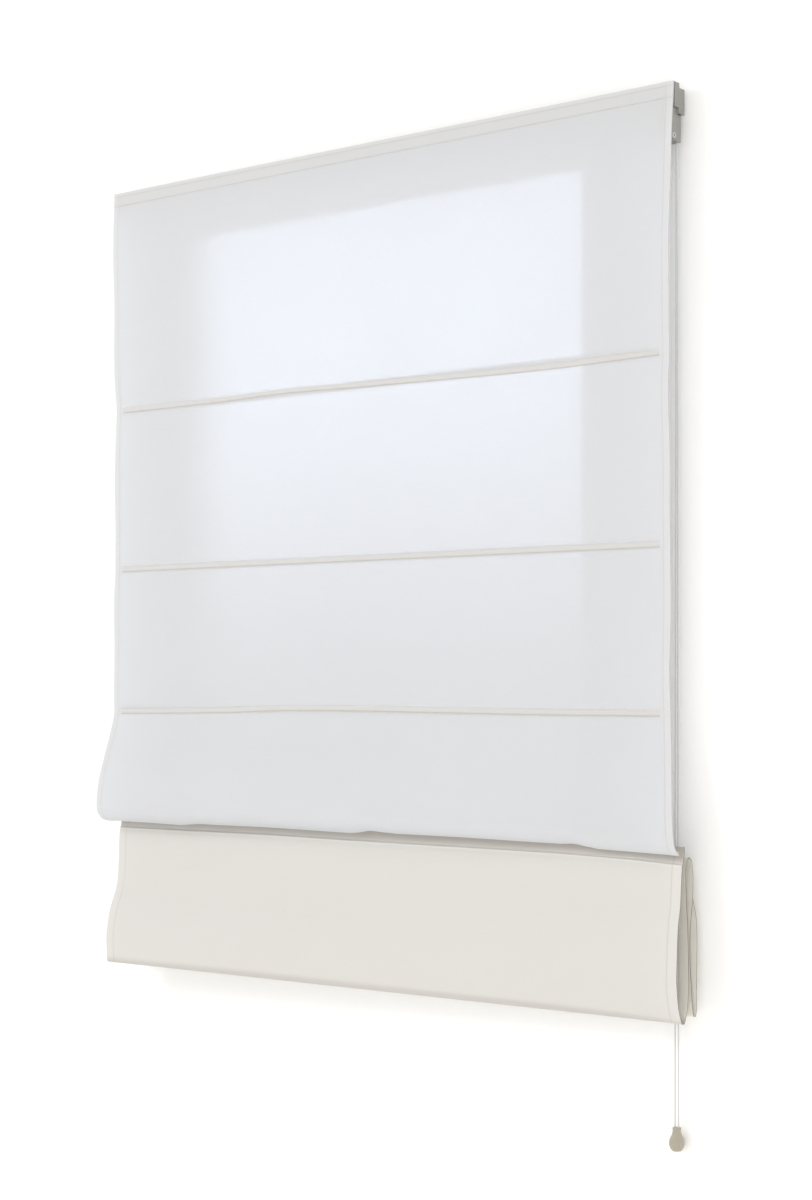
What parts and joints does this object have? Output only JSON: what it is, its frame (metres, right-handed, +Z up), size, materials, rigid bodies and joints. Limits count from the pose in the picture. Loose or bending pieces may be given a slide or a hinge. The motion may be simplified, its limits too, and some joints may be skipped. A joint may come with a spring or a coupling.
{
  "type": "roman blind",
  "caption": "Wall-hung cord-operated roman blind in pale cloth with rods in sewn pockets, partly raised.",
  "frame": {"origin": "centre of the four wall fixing holes, in the plane of the wall", "axes": "+Z up, +Y into the wall, +X along the blind to the right as seen from the room"},
  "size_m": [1.018, 0.0885, 1.3365],
  "materials": {
    "rail_metal": "satin anodised",
    "cap_plastic": "matt",
    "bracket_steel": "satin",
    "tape": "woven tape",
    "cloth": "plain weave, lets light through",
    "guide_plastic": "matt",
    "lock_metal": "satin",
    "roller_brass": "satin",
    "eyelet_metal": "satin",
    "cord": "braided cord",
    "knob_plastic": "satin",
    "rod": "smooth glass-fibre rod",
    "bar_metal": "white paint",
    "ring_plastic": "smooth"
  },
  "bodies": {
    "headrail": {"headrail": "rail_metal", "end_cap_left": "cap_plastic", "end_cap_right": "cap_plastic", "bracket_left": "bracket_steel", "bracket_right": "bracket_steel", "hook_tape": "tape", "loop_tape": "tape", "cloth_hanging": "cloth", "cord_guide_left": "guide_plastic", "cord_guide_right": "guide_plastic", "cord_lock_body": "lock_metal", "lock_eyelet": "eyelet_metal", "lift_cord_left": "cord", "lift_cord_right": "cord"},
    "rod_1": {"rod_1": "rod", "rings_1": "ring_plastic"},
    "rod_2": {"rod_2": "rod", "rings_2": "ring_plastic"},
    "rod_3": {"rod_3": "rod", "rings_3": "ring_plastic"},
    "stack": {"cloth_stack": "cloth", "rod_4": "rod", "rod_5": "rod", "rod_6": "rod", "bottom_bar": "bar_metal", "rings_4": "ring_plastic", "rings_6": "ring_plastic"},
    "pull": {"pull_cord_left": "cord", "pull_cord_right": "cord", "cord_knot": "cord", "pull_knob": "knob_plastic"},
    "lock_roller": {"cord_lock_roller": "roller_brass"}
  },
  "joints": [
    {"name": "lift", "type": "slide", "parent": "headrail", "child": "stack", "axis": [0, 0, 1], "range_m": [0, 0.8], "deforming": ["cloth_hanging", "lift_cord_left", "lift_cord_right"]},
    {"name": "rod_1_rise", "type": "slide", "parent": "headrail", "child": "rod_1", "axis": [0, 0, 1], "range_m": [0, 0.2767]},
    {"name": "rod_2_rise", "type": "slide", "parent": "headrail", "child": "rod_2", "axis": [0, 0, 1], "range_m": [0, 0.4744]},
    {"name": "rod_3_rise", "type": "slide", "parent": "headrail", "child": "rod_3", "axis": [0, 0, 1], "range_m": [0, 0.6484]},
    {"name": "pull_down", "type": "slide", "parent": "headrail", "child": "pull", "axis": [0, 0, -1], "range_m": [0, 0.801]},
    {"name": "lock_roller_slide", "type": "slide", "parent": "headrail", "child": "lock_roller", "axis": [-0.3162, 0, -0.9487], "range_m": [0, 0.00632]}
  ],
  "couplings": [
    {"joint": "rod_1_rise", "follows": "lift", "ratio": 0.34462},
    {"joint": "rod_2_rise", "follows": "lift", "ratio": 0.59179},
    {"joint": "rod_3_rise", "follows": "lift", "ratio": 0.80923},
    {"joint": "pull_down", "follows": "lift", "ratio": 1}
  ]
}
